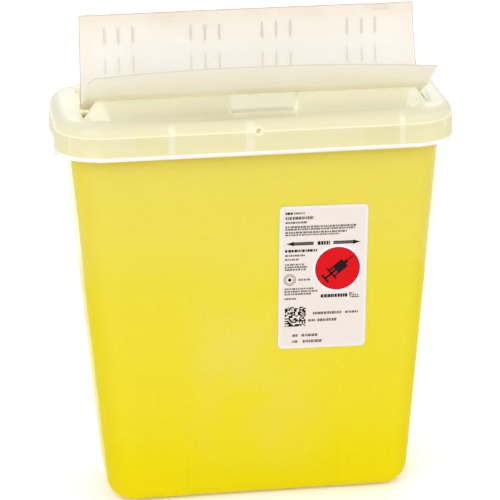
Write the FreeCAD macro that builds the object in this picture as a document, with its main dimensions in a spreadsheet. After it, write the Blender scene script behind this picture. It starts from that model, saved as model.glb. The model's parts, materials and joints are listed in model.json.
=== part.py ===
import FreeCAD
import Part
import Sketcher
import math
import os

# In-room sharps container: a tapered yellow tub with a press-on lid.  A counterbalanced
# swing door lies over the throat, and a closure panel stands behind it.
# X is the width, -Y the front, +Z up; the origin is the centre of the base underside.

DIMENSIONS = {
    # tub
    "tub_base_width": 263.6,
    "tub_base_depth": 104.0,
    "tub_base_corner": 22.0,
    "tub_top_width": 319.0,
    "tub_top_depth": 122.4,
    "tub_top_corner": 31.0,
    "tub_height": 336.0,
    "tub_wall": 2.0,
    "tub_floor": 2.4,
    "tub_bottom_round": 18.0,
    "tub_inside_round": 15.0,
    "flange_width": 333.0,
    "flange_depth": 141.0,
    "flange_corner": 37.5,
    "flange_thickness": 3.0,
    # gasket
    "gasket_margin": 0.5,
    "gasket_band": 7.0,
    "gasket_thickness": 2.5,
    # lid
    "lid_width": 340.0,
    "lid_depth": 148.0,
    "lid_corner": 41.0,
    "lid_wall": 2.0,
    "lid_lip_level": 320.5,
    "lid_ledge_level": 340.5,
    "lid_ledge_inset": 1.5,
    "lid_dome_level": 352.0,
    "lid_dome_round": 11.0,
    "lid_inside_round": 9.0,
    "seal_rib_inset": 6.0,
    "deck_level": 344.0,
    "deck_half_width": 146.2,
    "deck_front": -46.0,
    "deck_rear": 47.0,
    "deck_corner": 2.0,
    "bearing_recess_half_width": 150.0,
    "bearing_recess_front": -3.0,
    "bearing_recess_rear": 12.0,
    "throat_half_width": 145.8,
    "throat_front": -36.0,
    "throat_rear": -3.0,
    "throat_corner": 4.0,
    # fairing in front of the door
    "fairing_foot_level": 347.0,
    "fairing_foot_front": -65.5,
    "fairing_foot_half_width": 149.5,
    "fairing_foot_corner": 28.0,
    "fairing_ridge_level": 366.0,
    "fairing_ridge_front": -49.5,
    "fairing_ridge_half_width": 136.0,
    "fairing_ridge_corner": 7.0,
    "fairing_blank_rear": 0.0,
    "notch_centre": 4.6,
    "notch_half_width": 26.5,
    "notch_flare": 4.0,
    "notch_level": 350.5,
    "notch_reach": 24.0,
    # finger reliefs under the skirt's ends
    "arch_half_length": 26.0,
    "arch_height": 6.0,
    # snap tabs that hold the lid under the tub's flange
    "snap_tab_length": 26.0,
    "snap_tab_reach": 2.4,
    "snap_tab_height": 4.0,
    "snap_tab_pitch": 97.7,
    "snap_tab_shift": 4.3,
    "snap_tab_gap": 0.2,
    # bearings for the door, behind the fairing
    "door_bearing_inner_face": 126.0,
    "door_bearing_thickness": 5.0,
    "door_bearing_front": -45.6,
    "door_bearing_rear": -36.6,
    "door_bearing_level": 362.0,
    "door_bearing_chamfer": 2.0,
    # bearings for the panel, at the ends of the deck
    "panel_bearing_inner_face": 144.6,
    "panel_bearing_thickness": 4.8,
    "panel_bearing_front": -2.0,
    "panel_bearing_rear": 11.0,
    "panel_bearing_level": 351.5,
    "panel_stop_level": 357.0,
    "panel_stop_reach": 4.6,
    # swing door
    "door_half_width": 145.0,
    "door_thickness": 1.6,
    "door_lip_y": -98.0,
    "door_lip_level": 396.0,
    "door_knee_y": -47.0,
    "door_knee_level": 367.3,
    "door_tail_y": -18.0,
    "door_tail_level": 352.0,
    "door_axis_y": -41.0,
    "door_axis_level": 358.0,
    "door_lug_inner": 120.8,
    "door_lug_width": 4.6,
    "door_lug_radius": 3.8,
    "door_lug_chamfer": 2.2,
    "door_lug_front_top": 367.7,
    "door_lug_rear_top": 362.7,
    "door_pin_root": 121.8,
    "door_pin_tip": 130.5,
    "pin_radius": 2.2,
    "pin_clearance": 0.06,
    # closure panel
    "panel_half_width": 143.4,
    "panel_pin_tip": 148.6,
    "panel_height": 78.5,
    "panel_thickness": 1.5,
    "panel_lean": 6.0,
    "panel_axis_y": 3.0,
    "panel_axis_level": 347.6,
    "panel_barrel_radius": 3.0,
    "panel_corner": 1.5,
    "panel_rib_width": 1.5,
    "panel_rib_height": 13.8,
    "panel_rib_depth": 0.8,
    "panel_rib_pitch": 12.0,
    "panel_rib_shift": -6.0,
    "panel_rib_near_group": 30.3,
    "panel_rib_far_group": 103.6,
    "panel_rib_upper_drop": 13.2,
    "panel_rib_lower_drop": 39.3,
    # label on the front face
    "label_width": 76.0,
    "label_height": 129.0,
    "label_corner": 4.0,
    "label_thickness": 0.3,
    "label_centre_x": 54.0,
    "label_centre_level": 205.0,
    "label_gap": 0.02,
    # how far a cut runs past the surface it cuts through
    "cut_margin": 1.0,
}

# Flat steps that make up the rounded edge around the tub's bottom.
ROUND_STEPS = 6

# How far an edge may lie from the height it is looked for at.
LEVEL_TOLERANCE = 0.01

document = FreeCAD.newDocument("sharps_container")
sheet = document.addObject("Spreadsheet::Sheet", "dims")
for row, (alias, number) in enumerate(DIMENSIONS.items(), start=1):
    sheet.set(f"A{row}", alias)
    sheet.set(f"B{row}", str(number))
    sheet.setAlias(f"B{row}", alias)
document.recompute()


def formula(text):
    """A formula in the sheet's names, with each name spelled the way other objects need it."""
    for alias in sorted(DIMENSIONS, key=len, reverse=True):
        text = text.replace(alias, f"@{list(DIMENSIONS).index(alias)}@")
    for index, alias in enumerate(DIMENSIONS):
        text = text.replace(f"@{index}@", f"dims.{alias}")
    return text


def value(text):
    """The number a formula gives now."""
    return float(sheet.evalExpression(formula(text)))


def new_body(label):
    body = document.addObject("PartDesign::Body", label)
    body.Label = label
    return body


def new_sketch(body, name, plane, offset="0"):
    """A sketch on one of the body's own origin planes, moved along the plane's normal."""
    sketch = body.newObject("Sketcher::SketchObject", name)
    plane_object = next(item for item in body.Origin.OriginFeatures if item.Role == plane)
    sketch.AttachmentSupport = (plane_object, [""])
    sketch.MapMode = "FlatFace"
    sketch.setExpression("AttachmentOffset.Base.z", formula(offset))
    return sketch


def hold(sketch, kind, geometry, point, text):
    """Fix one coordinate of a sketch point, measured from the sketch's origin."""
    number = value(text)
    if number >= 0:
        index = sketch.addConstraint(Sketcher.Constraint(kind, -1, 1, geometry, point, number))
        sketch.setExpression(f"Constraints[{index}]", formula(text))
    else:
        index = sketch.addConstraint(Sketcher.Constraint(kind, geometry, point, -1, 1, -number))
        sketch.setExpression(f"Constraints[{index}]", formula(f"-({text})"))


def draw_polygon(sketch, corners):
    """A closed outline of straight lines; each corner is a pair of formulas."""
    points = [FreeCAD.Vector(value(x), value(y), 0) for x, y in corners]
    first = sketch.GeometryCount
    count = len(points)
    for number in range(count):
        sketch.addGeometry(Part.LineSegment(points[number], points[(number + 1) % count]))
    for number in range(count):
        line = first + number
        following = first + (number + 1) % count
        sketch.addConstraint(Sketcher.Constraint("Coincident", line, 2, following, 1))
    for number, (x, y) in enumerate(corners):
        hold(sketch, "DistanceX", first + number, 1, x)
        hold(sketch, "DistanceY", first + number, 1, y)


def draw_rounded_rectangle(sketch, low_x, high_x, low_y, high_y, radius):
    """A rectangle with four equal corner arcs, its sides and radius given by formulas."""
    left, right, low, high, r = (value(text) for text in (low_x, high_x, low_y, high_y, radius))
    spots = [
        (left + r, low), (right - r, low), (right, low + r), (right, high - r),
        (right - r, high), (left + r, high), (left, high - r), (left, low + r),
    ]
    spots = [FreeCAD.Vector(x, y, 0) for x, y in spots]
    centres = [(right - r, low + r), (right - r, high - r), (left + r, high - r), (left + r, low + r)]
    quarter = math.pi / 2
    first = sketch.GeometryCount
    for side in range(4):
        sketch.addGeometry(Part.LineSegment(spots[2 * side], spots[2 * side + 1]))
        centre_x, centre_y = centres[side]
        circle = Part.Circle(FreeCAD.Vector(centre_x, centre_y, 0), FreeCAD.Vector(0, 0, 1), r)
        start = (side - 1) * quarter
        sketch.addGeometry(Part.ArcOfCircle(circle, start, start + quarter))
    for side in range(4):
        line = first + 2 * side
        arc = line + 1
        following = first + (2 * side + 2) % 8
        direction = "Horizontal" if side % 2 == 0 else "Vertical"
        sketch.addConstraint(Sketcher.Constraint(direction, line))
        sketch.addConstraint(Sketcher.Constraint("Tangent", line, 2, arc, 1))
        sketch.addConstraint(Sketcher.Constraint("Tangent", arc, 2, following, 1))
        if side:
            sketch.addConstraint(Sketcher.Constraint("Equal", first + 1, arc))
    index = sketch.addConstraint(Sketcher.Constraint("Radius", first + 1, r))
    sketch.setExpression(f"Constraints[{index}]", formula(radius))
    hold(sketch, "DistanceY", first, 1, low_y)
    hold(sketch, "DistanceX", first + 2, 1, high_x)
    hold(sketch, "DistanceY", first + 4, 1, high_y)
    hold(sketch, "DistanceX", first + 6, 1, low_x)


def draw_centred(sketch, width, depth, radius):
    """A rounded rectangle centred on the sketch's origin."""
    draw_rounded_rectangle(sketch, f"-({width}) / 2", f"({width}) / 2",
                           f"-({depth}) / 2", f"({depth}) / 2", radius)


def draw_circle(sketch, x, y, radius):
    centre = FreeCAD.Vector(value(x), value(y), 0)
    circle = sketch.addGeometry(Part.Circle(centre, FreeCAD.Vector(0, 0, 1), value(radius)))
    hold(sketch, "DistanceX", circle, 3, x)
    hold(sketch, "DistanceY", circle, 3, y)
    index = sketch.addConstraint(Sketcher.Constraint("Radius", circle, value(radius)))
    sketch.setExpression(f"Constraints[{index}]", formula(radius))


def extrude(body, kind, sketch, length, reverse=False, symmetric=False):
    """A Pad or a Pocket of a sketch."""
    feature = body.newObject(f"PartDesign::{kind}", f"{sketch.Name}_{kind.lower()}")
    feature.Profile = sketch
    feature.setExpression("Length", formula(length))
    feature.Reversed = reverse
    feature.Midplane = symmetric
    document.recompute()
    return feature


def loft(body, kind, sketches):
    """A straight-sided loft through two sketches."""
    feature = body.newObject(f"PartDesign::{kind}", f"{sketches[0].Name}_loft")
    feature.Profile = sketches[0]
    feature.Sections = [(sketch, [""]) for sketch in sketches[1:]]
    feature.Ruled = True
    document.recompute()
    return feature


def edges_at(feature, level):
    """Names of a feature's flat edges at one height."""
    names = []
    for number, edge in enumerate(feature.Shape.Edges, start=1):
        box = edge.BoundBox
        if abs(box.ZMin - level) < LEVEL_TOLERANCE and abs(box.ZMax - level) < LEVEL_TOLERANCE:
            names.append(f"Edge{number}")
    return names


def round_edges(body, feature, names, radius):
    fillet = body.newObject("PartDesign::Fillet", f"{feature.Name}_round")
    fillet.Base = (feature, names)
    fillet.setExpression("Radius", formula(radius))
    document.recompute()
    return fillet


def loft_tub(body, name, floor_level, top_level, wall, bottom_round):
    """A tapered block whose bottom edge is rounded in equal steps of a quarter circle."""
    widening = "(tub_top_width - tub_base_width) / tub_height"
    deepening = "(tub_top_depth - tub_base_depth) / tub_height"
    opening = "(tub_top_corner - tub_base_corner) / tub_height"
    sections = []
    for step in range(ROUND_STEPS + 1):
        angle = 90 * step / ROUND_STEPS
        level = f"({floor_level} + {bottom_round} * (1 - cos({angle})))"
        inset = f"({wall} + {bottom_round} * (1 - sin({angle})))"
        sections.append((level, inset))
    sections.append((top_level, wall))
    sketches = []
    for number, (level, inset) in enumerate(sections):
        sketch = new_sketch(body, f"{name}_section_{number}", "XY_Plane", level)
        draw_centred(sketch, f"tub_base_width + {widening} * {level} - 2 * {inset}",
                     f"tub_base_depth + {deepening} * {level} - 2 * {inset}",
                     f"tub_base_corner + {opening} * {level} - {inset}")
        sketches.append(sketch)
    return loft(body, "AdditiveLoft", sketches)


def make_tub_outside():
    """The tub as a solid block, with the flange that carries the lid."""
    body = new_body("tub_outside")
    loft_tub(body, "outside", "0", "tub_height", "0", "tub_bottom_round")

    flange = new_sketch(body, "tub_flange", "XY_Plane", "tub_height - flange_thickness")
    draw_centred(flange, "flange_width", "flange_depth", "flange_corner")
    extrude(body, "Pad", flange, "flange_thickness")
    return body


def make_tub_inside():
    """The space that the tub holds."""
    body = new_body("tub_inside")
    loft_tub(body, "inside", "tub_floor", "(tub_height + cut_margin)", "tub_wall", "tub_inside_round")
    return body


def make_tub():
    tub = document.addObject("Part::Cut", "container_body")
    tub.Base = make_tub_outside()
    tub.Tool = make_tub_inside()
    tub.Label = "container_body"
    document.recompute()
    return tub


def make_gasket():
    body = new_body("rim_gasket")
    ring = new_sketch(body, "gasket_ring", "XY_Plane", "tub_height")
    draw_centred(ring, "flange_width - 2 * gasket_margin", "flange_depth - 2 * gasket_margin",
                 "flange_corner - gasket_margin")
    inset = "(gasket_margin + gasket_band)"
    draw_centred(ring, f"flange_width - 2 * {inset}", f"flange_depth - 2 * {inset}",
                 f"flange_corner - {inset}")
    extrude(body, "Pad", ring, "gasket_thickness")
    return body


def draw_fairing_foot(sketch, inset):
    """The fairing's foot follows the lid's rounded corners; its rear half is cut away later."""
    draw_rounded_rectangle(sketch, f"-fairing_foot_half_width + {inset}",
                           f"fairing_foot_half_width - {inset}",
                           f"fairing_foot_front + {inset}", "fairing_blank_rear",
                           f"fairing_foot_corner - {inset}")


def draw_fairing_ridge(sketch, inset):
    """The ridge is narrow, so its front wall takes a quarter of the inset."""
    draw_rounded_rectangle(sketch, f"-fairing_ridge_half_width + {inset}",
                           f"fairing_ridge_half_width - {inset}",
                           f"fairing_ridge_front + {inset} / 4", "fairing_blank_rear",
                           f"fairing_ridge_corner - {inset}")


def draw_notch(sketch, margin):
    draw_polygon(sketch, [
        (f"notch_centre - notch_half_width - {margin}", f"notch_level - {margin}"),
        (f"notch_centre + notch_half_width + {margin}", f"notch_level - {margin}"),
        (f"notch_centre + notch_half_width + notch_flare + {margin}", "fairing_ridge_level + cut_margin"),
        (f"notch_centre - notch_half_width - notch_flare - {margin}", "fairing_ridge_level + cut_margin"),
    ])


def make_lid_outside():
    """The lid as a solid block, before its underside is hollowed."""
    body = new_body("lid_outside")
    skirt = new_sketch(body, "lid_skirt", "XY_Plane", "lid_lip_level")
    draw_centred(skirt, "lid_width", "lid_depth", "lid_corner")
    extrude(body, "Pad", skirt, "lid_ledge_level - lid_lip_level")

    dome = new_sketch(body, "lid_dome", "XY_Plane", "lid_ledge_level")
    draw_centred(dome, "lid_width - 2 * lid_ledge_inset", "lid_depth - 2 * lid_ledge_inset",
                 "lid_corner - lid_ledge_inset")
    dome_pad = extrude(body, "Pad", dome, "lid_dome_level - lid_ledge_level")
    round_edges(body, dome_pad, edges_at(dome_pad, value("lid_dome_level")), "lid_dome_round")

    foot = new_sketch(body, "fairing_foot", "XY_Plane", "fairing_foot_level")
    draw_fairing_foot(foot, "0")
    ridge = new_sketch(body, "fairing_ridge", "XY_Plane", "fairing_ridge_level")
    draw_fairing_ridge(ridge, "0")
    loft(body, "AdditiveLoft", [foot, ridge])

    deck = new_sketch(body, "deck_recess", "XY_Plane", "deck_level")
    draw_rounded_rectangle(deck, "-deck_half_width", "deck_half_width", "deck_front", "deck_rear",
                           "deck_corner")
    extrude(body, "Pocket", deck, "fairing_ridge_level - deck_level + cut_margin", reverse=True)

    ends = new_sketch(body, "bearing_recess", "XY_Plane", "deck_level")
    draw_rounded_rectangle(ends, "-bearing_recess_half_width", "bearing_recess_half_width",
                           "bearing_recess_front", "bearing_recess_rear", "deck_corner")
    extrude(body, "Pocket", ends, "lid_dome_level - deck_level + cut_margin", reverse=True)

    notch = new_sketch(body, "finger_notch", "XZ_Plane", "lid_wall - deck_front")
    draw_notch(notch, "0")
    extrude(body, "Pocket", notch, "notch_reach", reverse=True)

    arch = new_sketch(body, "skirt_arches", "YZ_Plane")
    draw_polygon(arch, [
        ("-arch_half_length", "lid_lip_level - cut_margin"),
        ("arch_half_length", "lid_lip_level - cut_margin"),
        ("arch_half_length - arch_height / 2", "lid_lip_level + arch_height"),
        ("-arch_half_length + arch_height / 2", "lid_lip_level + arch_height"),
    ])
    extrude(body, "Pocket", arch, "2 * lid_width", symmetric=True)
    return body


def make_lid_hollow():
    """The air under the lid: skirt, dome and fairing, less the deck recess and the seal rib."""
    body = new_body("lid_hollow")
    skirt = new_sketch(body, "hollow_skirt", "XY_Plane", "lid_lip_level - cut_margin")
    draw_centred(skirt, "lid_width - 2 * lid_wall", "lid_depth - 2 * lid_wall",
                 "lid_corner - lid_wall")
    extrude(body, "Pad", skirt, "lid_ledge_level - lid_wall - lid_lip_level + cut_margin")

    inset = "(lid_ledge_inset + lid_wall)"
    dome = new_sketch(body, "hollow_dome", "XY_Plane", "lid_ledge_level - lid_wall")
    draw_centred(dome, f"lid_width - 2 * {inset}", f"lid_depth - 2 * {inset}",
                 f"lid_corner - {inset}")
    dome_pad = extrude(body, "Pad", dome, "lid_dome_level - lid_ledge_level")
    dome_top = value("lid_dome_level - lid_wall")
    round_edges(body, dome_pad, edges_at(dome_pad, dome_top), "lid_inside_round")

    foot = new_sketch(body, "hollow_fairing_foot", "XY_Plane", "fairing_foot_level - lid_wall")
    draw_fairing_foot(foot, "lid_wall")
    ridge = new_sketch(body, "hollow_fairing_ridge", "XY_Plane", "fairing_ridge_level - lid_wall")
    draw_fairing_ridge(ridge, "lid_wall")
    loft(body, "AdditiveLoft", [foot, ridge])

    deck = new_sketch(body, "hollow_deck", "XY_Plane", "deck_level - lid_wall")
    draw_rounded_rectangle(deck, "-bearing_recess_half_width - lid_wall",
                           "bearing_recess_half_width + lid_wall",
                           "deck_front - lid_wall", "deck_rear + lid_wall",
                           "deck_corner + lid_wall")
    extrude(body, "Pocket", deck, "fairing_ridge_level - deck_level + lid_wall + cut_margin", reverse=True)

    notch = new_sketch(body, "hollow_notch", "XZ_Plane", "-deck_front - cut_margin")
    draw_notch(notch, "lid_wall")
    extrude(body, "Pocket", notch, "notch_reach", reverse=True)

    rib = new_sketch(body, "seal_rib", "XY_Plane", "tub_height + gasket_thickness")
    draw_centred(rib, "lid_width - 2 * seal_rib_inset", "lid_depth - 2 * seal_rib_inset",
                 "lid_corner - seal_rib_inset")
    inner = "(seal_rib_inset + lid_wall)"
    draw_centred(rib, f"lid_width - 2 * {inner}", f"lid_depth - 2 * {inner}",
                 f"lid_corner - {inner}")
    extrude(body, "Pocket", rib, "lid_dome_level - tub_height", reverse=True)
    return body


def make_throat_cutter():
    body = new_body("lid_throat")
    throat = new_sketch(body, "throat", "XY_Plane", "deck_level - 2 * lid_wall")
    draw_rounded_rectangle(throat, "-throat_half_width", "throat_half_width", "throat_front",
                           "throat_rear", "throat_corner")
    extrude(body, "Pad", throat, "3 * lid_wall")
    return body


def make_snap_tabs():
    """Short ribs inside the skirt, just under the tub's flange, front and rear."""
    body = new_body("lid_snap_tabs")
    tabs = new_sketch(body, "snap_tabs", "XY_Plane",
                      "tub_height - flange_thickness - snap_tab_height - snap_tab_gap")
    for side in (-1, 1):
        for step in (-1, 0, 1):
            centre = f"snap_tab_shift + {step} * snap_tab_pitch"
            wall = f"{side} * (lid_depth / 2 - lid_wall / 2)"
            reach = f"{side} * (lid_depth / 2 - lid_wall - snap_tab_reach)"
            draw_polygon(tabs, [
                (f"{centre} - snap_tab_length / 2", wall),
                (f"{centre} + snap_tab_length / 2", wall),
                (f"{centre} + snap_tab_length / 2", reach),
                (f"{centre} - snap_tab_length / 2", reach),
            ])
    extrude(body, "Pad", tabs, "snap_tab_height")
    return body


def make_lid():
    shell = document.addObject("Part::Cut", "lid_shell")
    shell.Base = make_lid_outside()
    shell.Tool = make_lid_hollow()
    opened = document.addObject("Part::Cut", "lid_opened")
    opened.Base = shell
    opened.Tool = make_throat_cutter()
    lid = document.addObject("Part::Fuse", "lid_frame")
    lid.Base = opened
    lid.Tool = make_snap_tabs()
    lid.Refine = True
    lid.Label = "lid_frame"
    document.recompute()
    return lid


def side_offset(side, inner_face, thickness):
    """Where a sketch lies so that its pad fills the space between two faces on one side."""
    return inner_face if side == "right" else f"-{inner_face} - {thickness}"


def make_door_bearing(side):
    """An upright ear on the deck, behind the fairing, with the hole for a door pin."""
    body = new_body(f"{side}_door_bearing")
    offset = side_offset(side, "door_bearing_inner_face", "door_bearing_thickness")
    profile = new_sketch(body, f"{side}_door_bearing_profile", "YZ_Plane", offset)
    draw_polygon(profile, [
        ("door_bearing_front", "deck_level"),
        ("door_bearing_rear", "deck_level"),
        ("door_bearing_rear", "door_bearing_level - door_bearing_chamfer"),
        ("door_bearing_rear - door_bearing_chamfer", "door_bearing_level"),
        ("door_bearing_front", "door_bearing_level"),
    ])
    draw_circle(profile, "door_axis_y", "door_axis_level", "pin_radius + pin_clearance")
    extrude(body, "Pad", profile, "door_bearing_thickness")
    return body


def make_panel_bearing(side):
    """A low block at the end of the deck; its upright rear part is the panel's stop."""
    body = new_body(f"{side}_panel_bearing")
    offset = side_offset(side, "panel_bearing_inner_face", "panel_bearing_thickness")
    profile = new_sketch(body, f"{side}_panel_bearing_profile", "YZ_Plane", offset)
    stop_front = "panel_axis_y + panel_stop_reach"
    draw_polygon(profile, [
        ("panel_bearing_front", "deck_level"),
        ("panel_bearing_rear", "deck_level"),
        ("panel_bearing_rear", "panel_stop_level"),
        (stop_front, "panel_stop_level"),
        (stop_front, "panel_bearing_level"),
        ("panel_bearing_front", "panel_bearing_level"),
    ])
    draw_circle(profile, "panel_axis_y", "panel_axis_level", "pin_radius + pin_clearance")
    extrude(body, "Pad", profile, "panel_bearing_thickness")
    return body


def slope_offset(low_y, low_level, high_y, high_level):
    """Formulas for a plate's thickness measured across its slope: the shifts in Y and in Z."""
    run = f"({low_y} - {high_y})"
    rise = f"({high_level} - {low_level})"
    length = f"sqrt({run} ^ 2 + {rise} ^ 2)"
    return f"door_thickness * {rise} / {length}", f"door_thickness * {run} / {length}"


def make_door():
    body = new_body("swing_door")
    profile = new_sketch(body, "door_profile", "YZ_Plane")
    front_y, front_z = slope_offset("door_knee_y", "door_knee_level", "door_lip_y", "door_lip_level")
    tail_y, tail_z = slope_offset("door_tail_y", "door_tail_level", "door_knee_y", "door_knee_level")
    draw_polygon(profile, [
        ("door_lip_y", "door_lip_level"),
        ("door_knee_y", "door_knee_level"),
        ("door_tail_y", "door_tail_level"),
        (f"door_tail_y + {tail_y}", f"door_tail_level + {tail_z}"),
        (f"door_knee_y + ({front_y} + {tail_y}) / 2", f"door_knee_level + ({front_z} + {tail_z}) / 2"),
        (f"door_lip_y + {front_y}", f"door_lip_level + {front_z}"),
    ])
    extrude(body, "Pad", profile, "2 * door_half_width", symmetric=True)
    for side in ("left", "right"):
        lug_offset = side_offset(side, "door_lug_inner", "door_lug_width")
        lug = new_sketch(body, f"{side}_door_lug", "YZ_Plane", lug_offset)
        front = "door_axis_y - door_lug_radius"
        rear = "door_axis_y + door_lug_radius"
        bottom = "door_axis_level - door_lug_radius"
        draw_polygon(lug, [
            (front, f"{bottom} + door_lug_chamfer"),
            (f"{front} + door_lug_chamfer", bottom),
            (f"{rear} - door_lug_chamfer", bottom),
            (rear, f"{bottom} + door_lug_chamfer"),
            (rear, "door_lug_rear_top"),
            (front, "door_lug_front_top"),
        ])
        extrude(body, "Pad", lug, "door_lug_width")
        pin_length = "(door_pin_tip - door_pin_root)"
        pin_offset = side_offset(side, "door_pin_root", pin_length)
        pin = new_sketch(body, f"{side}_door_pin", "YZ_Plane", pin_offset)
        draw_circle(pin, "door_axis_y", "door_axis_level", "pin_radius")
        extrude(body, "Pad", pin, pin_length)
    return body


def draw_panel_ribs(body, name, centre, drop):
    """Three short upright ribs on the panel's rear face."""
    ribs = new_sketch(body, name, "XZ_Plane", "-panel_thickness / 2")
    for step in (-1, 0, 1):
        left = f"{centre} + {step} * panel_rib_pitch - panel_rib_width / 2"
        draw_polygon(ribs, [
            (left, f"panel_height - {drop} - panel_rib_height"),
            (f"{left} + panel_rib_width", f"panel_height - {drop} - panel_rib_height"),
            (f"{left} + panel_rib_width", f"panel_height - {drop}"),
            (left, f"panel_height - {drop}"),
        ])
    extrude(body, "Pad", ribs, "panel_rib_depth", reverse=True)


def make_panel():
    """The closure panel, drawn upright about its hinge axis and then leaned back."""
    body = new_body("closure_panel")
    sheet_outline = new_sketch(body, "panel_outline", "XZ_Plane", "-panel_thickness / 2")
    draw_rounded_rectangle(sheet_outline, "-panel_half_width", "panel_half_width", "0",
                           "panel_height", "panel_corner")
    extrude(body, "Pad", sheet_outline, "panel_thickness")
    barrel = new_sketch(body, "panel_barrel", "YZ_Plane")
    draw_circle(barrel, "0", "0", "panel_barrel_radius")
    extrude(body, "Pad", barrel, "2 * panel_half_width", symmetric=True)
    pins = new_sketch(body, "panel_pins", "YZ_Plane")
    draw_circle(pins, "0", "0", "pin_radius")
    extrude(body, "Pad", pins, "2 * panel_pin_tip", symmetric=True)
    groups = ("-panel_rib_far_group", "-panel_rib_near_group",
              "panel_rib_near_group", "panel_rib_far_group")
    for row, drop in (("upper", "panel_rib_upper_drop"), ("lower", "panel_rib_lower_drop")):
        for number, group in enumerate(groups):
            draw_panel_ribs(body, f"{row}_ribs_{number}", f"panel_rib_shift + {group}", drop)
    tilt = FreeCAD.Rotation(FreeCAD.Vector(1, 0, 0), -value("panel_lean"))
    body.Placement = FreeCAD.Placement(FreeCAD.Vector(0, 0, 0), tilt)
    body.setExpression("Placement.Base.y", formula("panel_axis_y"))
    body.setExpression("Placement.Base.z", formula("panel_axis_level"))
    return body


def make_label():
    """The label lies flat on the tub's sloping front face."""
    body = new_body("front_label")
    outline = new_sketch(body, "label_outline", "XZ_Plane")
    draw_centred(outline, "label_width", "label_height", "label_corner")
    extrude(body, "Pad", outline, "label_thickness")
    slope = "(tub_top_depth - tub_base_depth) / 2 / tub_height"
    tilt = FreeCAD.Rotation(FreeCAD.Vector(1, 0, 0), value(f"atan({slope})"))
    body.Placement = FreeCAD.Placement(FreeCAD.Vector(0, 0, 0), tilt)
    body.setExpression("Placement.Base.x", formula("label_centre_x"))
    face = f"-tub_base_depth / 2 - {slope} * label_centre_level - label_gap"
    body.setExpression("Placement.Base.y", formula(face))
    body.setExpression("Placement.Base.z", formula("label_centre_level"))
    return body


nodes = [
    make_tub(),
    make_gasket(),
    make_lid(),
    make_door_bearing("left"),
    make_door_bearing("right"),
    make_panel_bearing("left"),
    make_panel_bearing("right"),
    make_door(),
    make_panel(),
    make_label(),
]
document.recompute()

for item in document.Objects:
    if "Invalid" in item.State or "Error" in item.State:
        raise RuntimeError(f"{item.Name} did not build: {item.State}")
os.makedirs("parts", exist_ok=True)
for node in nodes:
    if node.Shape.isNull() or not node.Shape.isValid():
        raise RuntimeError(f"{node.Label} has no valid shape")
    node.Shape.exportStep(f"parts/{node.Label}.step")
    box = node.Shape.BoundBox
    print(node.Label, len(node.Shape.Solids), "solid,", round(node.Shape.Volume / 1000, 1), "cm3, box",
          [round(number, 1) for number in (box.XMin, box.YMin, box.ZMin, box.XMax, box.YMax, box.ZMax)])
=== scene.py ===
import json
import math
import random

import bmesh
import bpy
from mathutils import Matrix, Vector


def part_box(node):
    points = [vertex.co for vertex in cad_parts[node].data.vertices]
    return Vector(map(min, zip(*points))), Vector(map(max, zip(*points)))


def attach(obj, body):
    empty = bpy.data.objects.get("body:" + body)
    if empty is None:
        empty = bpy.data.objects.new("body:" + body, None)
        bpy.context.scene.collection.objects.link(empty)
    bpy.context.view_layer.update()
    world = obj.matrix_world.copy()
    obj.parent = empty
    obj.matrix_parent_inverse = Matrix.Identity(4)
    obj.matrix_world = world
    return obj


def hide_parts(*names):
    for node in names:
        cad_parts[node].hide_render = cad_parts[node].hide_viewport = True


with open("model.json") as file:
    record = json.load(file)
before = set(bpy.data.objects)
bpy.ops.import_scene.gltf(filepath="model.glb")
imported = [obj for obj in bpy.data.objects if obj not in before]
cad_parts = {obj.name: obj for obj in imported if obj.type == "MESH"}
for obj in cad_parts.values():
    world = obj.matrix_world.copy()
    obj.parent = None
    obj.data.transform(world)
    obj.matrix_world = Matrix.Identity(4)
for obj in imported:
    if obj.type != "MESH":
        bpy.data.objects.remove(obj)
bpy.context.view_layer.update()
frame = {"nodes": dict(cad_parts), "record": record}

MM = 0.001
HOUSING = "tub_and_lid"

# Shapes are in millimetres: width, depth and corner radius where three numbers stand together.
TUB_BASE = (263.6, 104.0, 22.0)
TUB_TOP = (319.0, 122.4, 31.0)
TUB_HEIGHT = 336.0

# Materials measure the surface in metres, as the shader nodes do.
LID_LIP, LID_CREST = 0.3205, 0.366
SKIRT_FOOT = 0.3245
GLOW_REACH = 0.016
GRAIN_DEPTH = 0.00001


# ---------------------------------------------------------------- node helpers

def new_material(name):
    material = bpy.data.materials.new(name)
    material.use_nodes = True
    tree = material.node_tree
    return material, tree, tree.nodes["Principled BSDF"]


def object_position(tree):
    return tree.nodes.new("ShaderNodeTexCoord").outputs["Object"]


def axis_value(tree, axis):
    """One coordinate of the surface point, in metres, in the object's own frame."""
    split = tree.nodes.new("ShaderNodeSeparateXYZ")
    tree.links.new(object_position(tree), split.inputs[0])
    return split.outputs[axis]


def map_range(tree, source, low, high, to_low=0.0, to_high=1.0, smooth=False):
    node = tree.nodes.new("ShaderNodeMapRange")
    if smooth:
        node.interpolation_type = "SMOOTHSTEP"
    node.inputs["From Min"].default_value = low
    node.inputs["From Max"].default_value = high
    node.inputs["To Min"].default_value = to_low
    node.inputs["To Max"].default_value = to_high
    tree.links.new(source, node.inputs["Value"])
    return node.outputs["Result"]


def arithmetic(tree, operation, first, second=None):
    """A math node; the second term may be another socket, a plain number or absent."""
    node = tree.nodes.new("ShaderNodeMath")
    node.operation = operation
    tree.links.new(first, node.inputs[0])
    if isinstance(second, float):
        node.inputs[1].default_value = second
    elif second is not None:
        tree.links.new(second, node.inputs[1])
    return node.outputs[0]


def multiply(tree, first, second):
    return arithmetic(tree, "MULTIPLY", first, second)


def maximum(tree, first, second):
    return arithmetic(tree, "MAXIMUM", first, second)


def window(tree, axis, low, high, edge):
    """1 between two coordinates and 0 outside, with soft edges."""
    rise = map_range(tree, axis_value(tree, axis), low - edge, low + edge, smooth=True)
    fall = map_range(tree, axis_value(tree, axis), high - edge, high + edge, 1.0, 0.0,
                     smooth=True)
    return multiply(tree, rise, fall)


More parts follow.
